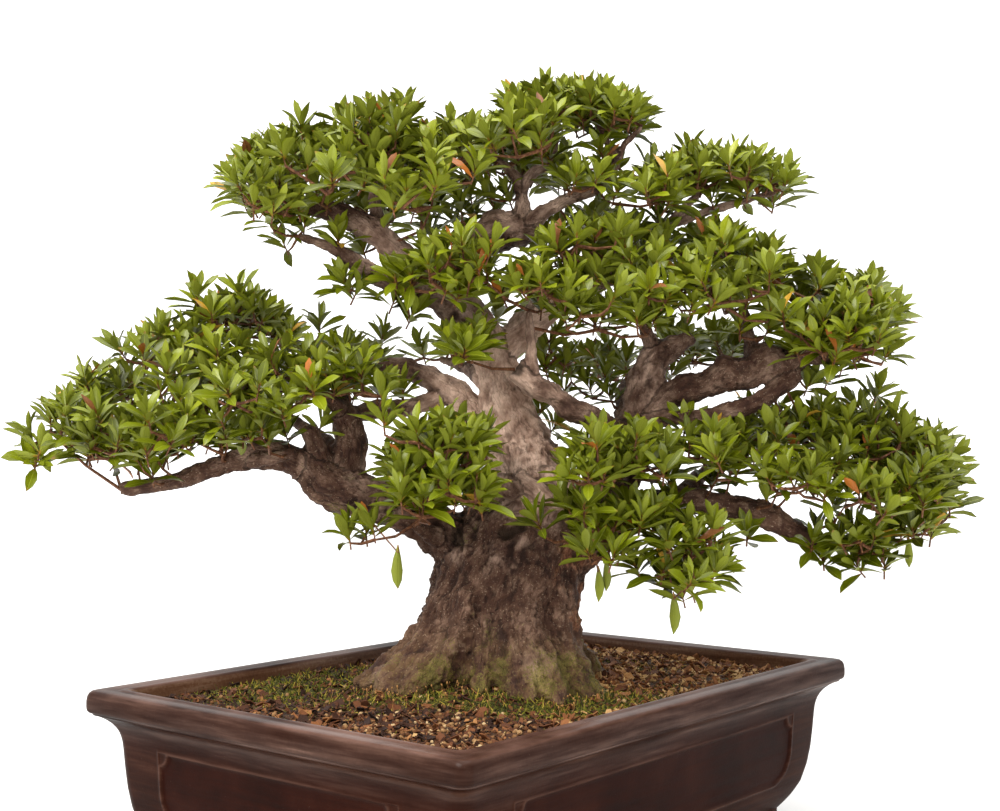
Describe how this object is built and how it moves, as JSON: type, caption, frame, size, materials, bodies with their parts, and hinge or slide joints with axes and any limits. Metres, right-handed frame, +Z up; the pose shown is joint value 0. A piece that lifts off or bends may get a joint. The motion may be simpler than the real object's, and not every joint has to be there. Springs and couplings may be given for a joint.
{
  "type": "satsuki azalea bonsai",
  "caption": "Evergreen azalea bonsai with a flared trunk, spreading limbs and leafy pads, in a rectangular footed clay pot.",
  "frame": {"origin": "on the ground, under the middle of the whole object's box", "axes": "+X along the pot's long side, +Y along its short side, +Z up; the tree's front is seen from between -X and -Y"},
  "size_m": [0.5496, 0.6464, 0.6576],
  "materials": {
    "pot_clay": "satin",
    "netting": "matte",
    "soil": "rough",
    "bark": "rough",
    "leaf": "satin"
  },
  "bodies": {
    "root": {"pot": "pot_clay", "drain_mesh_1": "netting", "drain_mesh_2": "netting", "soil": "soil", "wood": "bark", "spray_01": "leaf", "spray_02": "leaf", "spray_03": "leaf", "spray_04": "leaf", "spray_05": "leaf", "spray_06": "leaf", "spray_07": "leaf", "spray_08": "leaf", "spray_09": "leaf", "spray_10": "leaf", "spray_11": "leaf", "spray_12": "leaf", "spray_13": "leaf", "spray_14": "leaf", "spray_15": "leaf", "spray_16": "leaf", "spray_17": "leaf", "spray_18": "leaf", "spray_19": "leaf", "spray_20": "leaf", "spray_21": "leaf", "spray_22": "leaf", "spray_23": "leaf", "spray_24": "leaf", "spray_25": "leaf", "spray_26": "leaf", "spray_27": "leaf", "spray_28": "leaf", "spray_29": "leaf", "spray_30": "leaf", "spray_31": "leaf", "spray_32": "leaf", "spray_33": "leaf", "spray_34": "leaf", "spray_35": "leaf", "spray_36": "leaf", "spray_37": "leaf", "spray_38": "leaf", "spray_39": "leaf", "spray_40": "leaf", "spray_41": "leaf", "spray_42": "leaf", "spray_43": "leaf", "spray_44": "leaf", "spray_45": "leaf", "spray_46": "leaf", "spray_47": "leaf", "spray_48": "leaf", "spray_49": "leaf", "spray_50": "leaf", "spray_51": "leaf", "spray_52": "leaf", "spray_53": "leaf"}
  },
  "joints": []
}
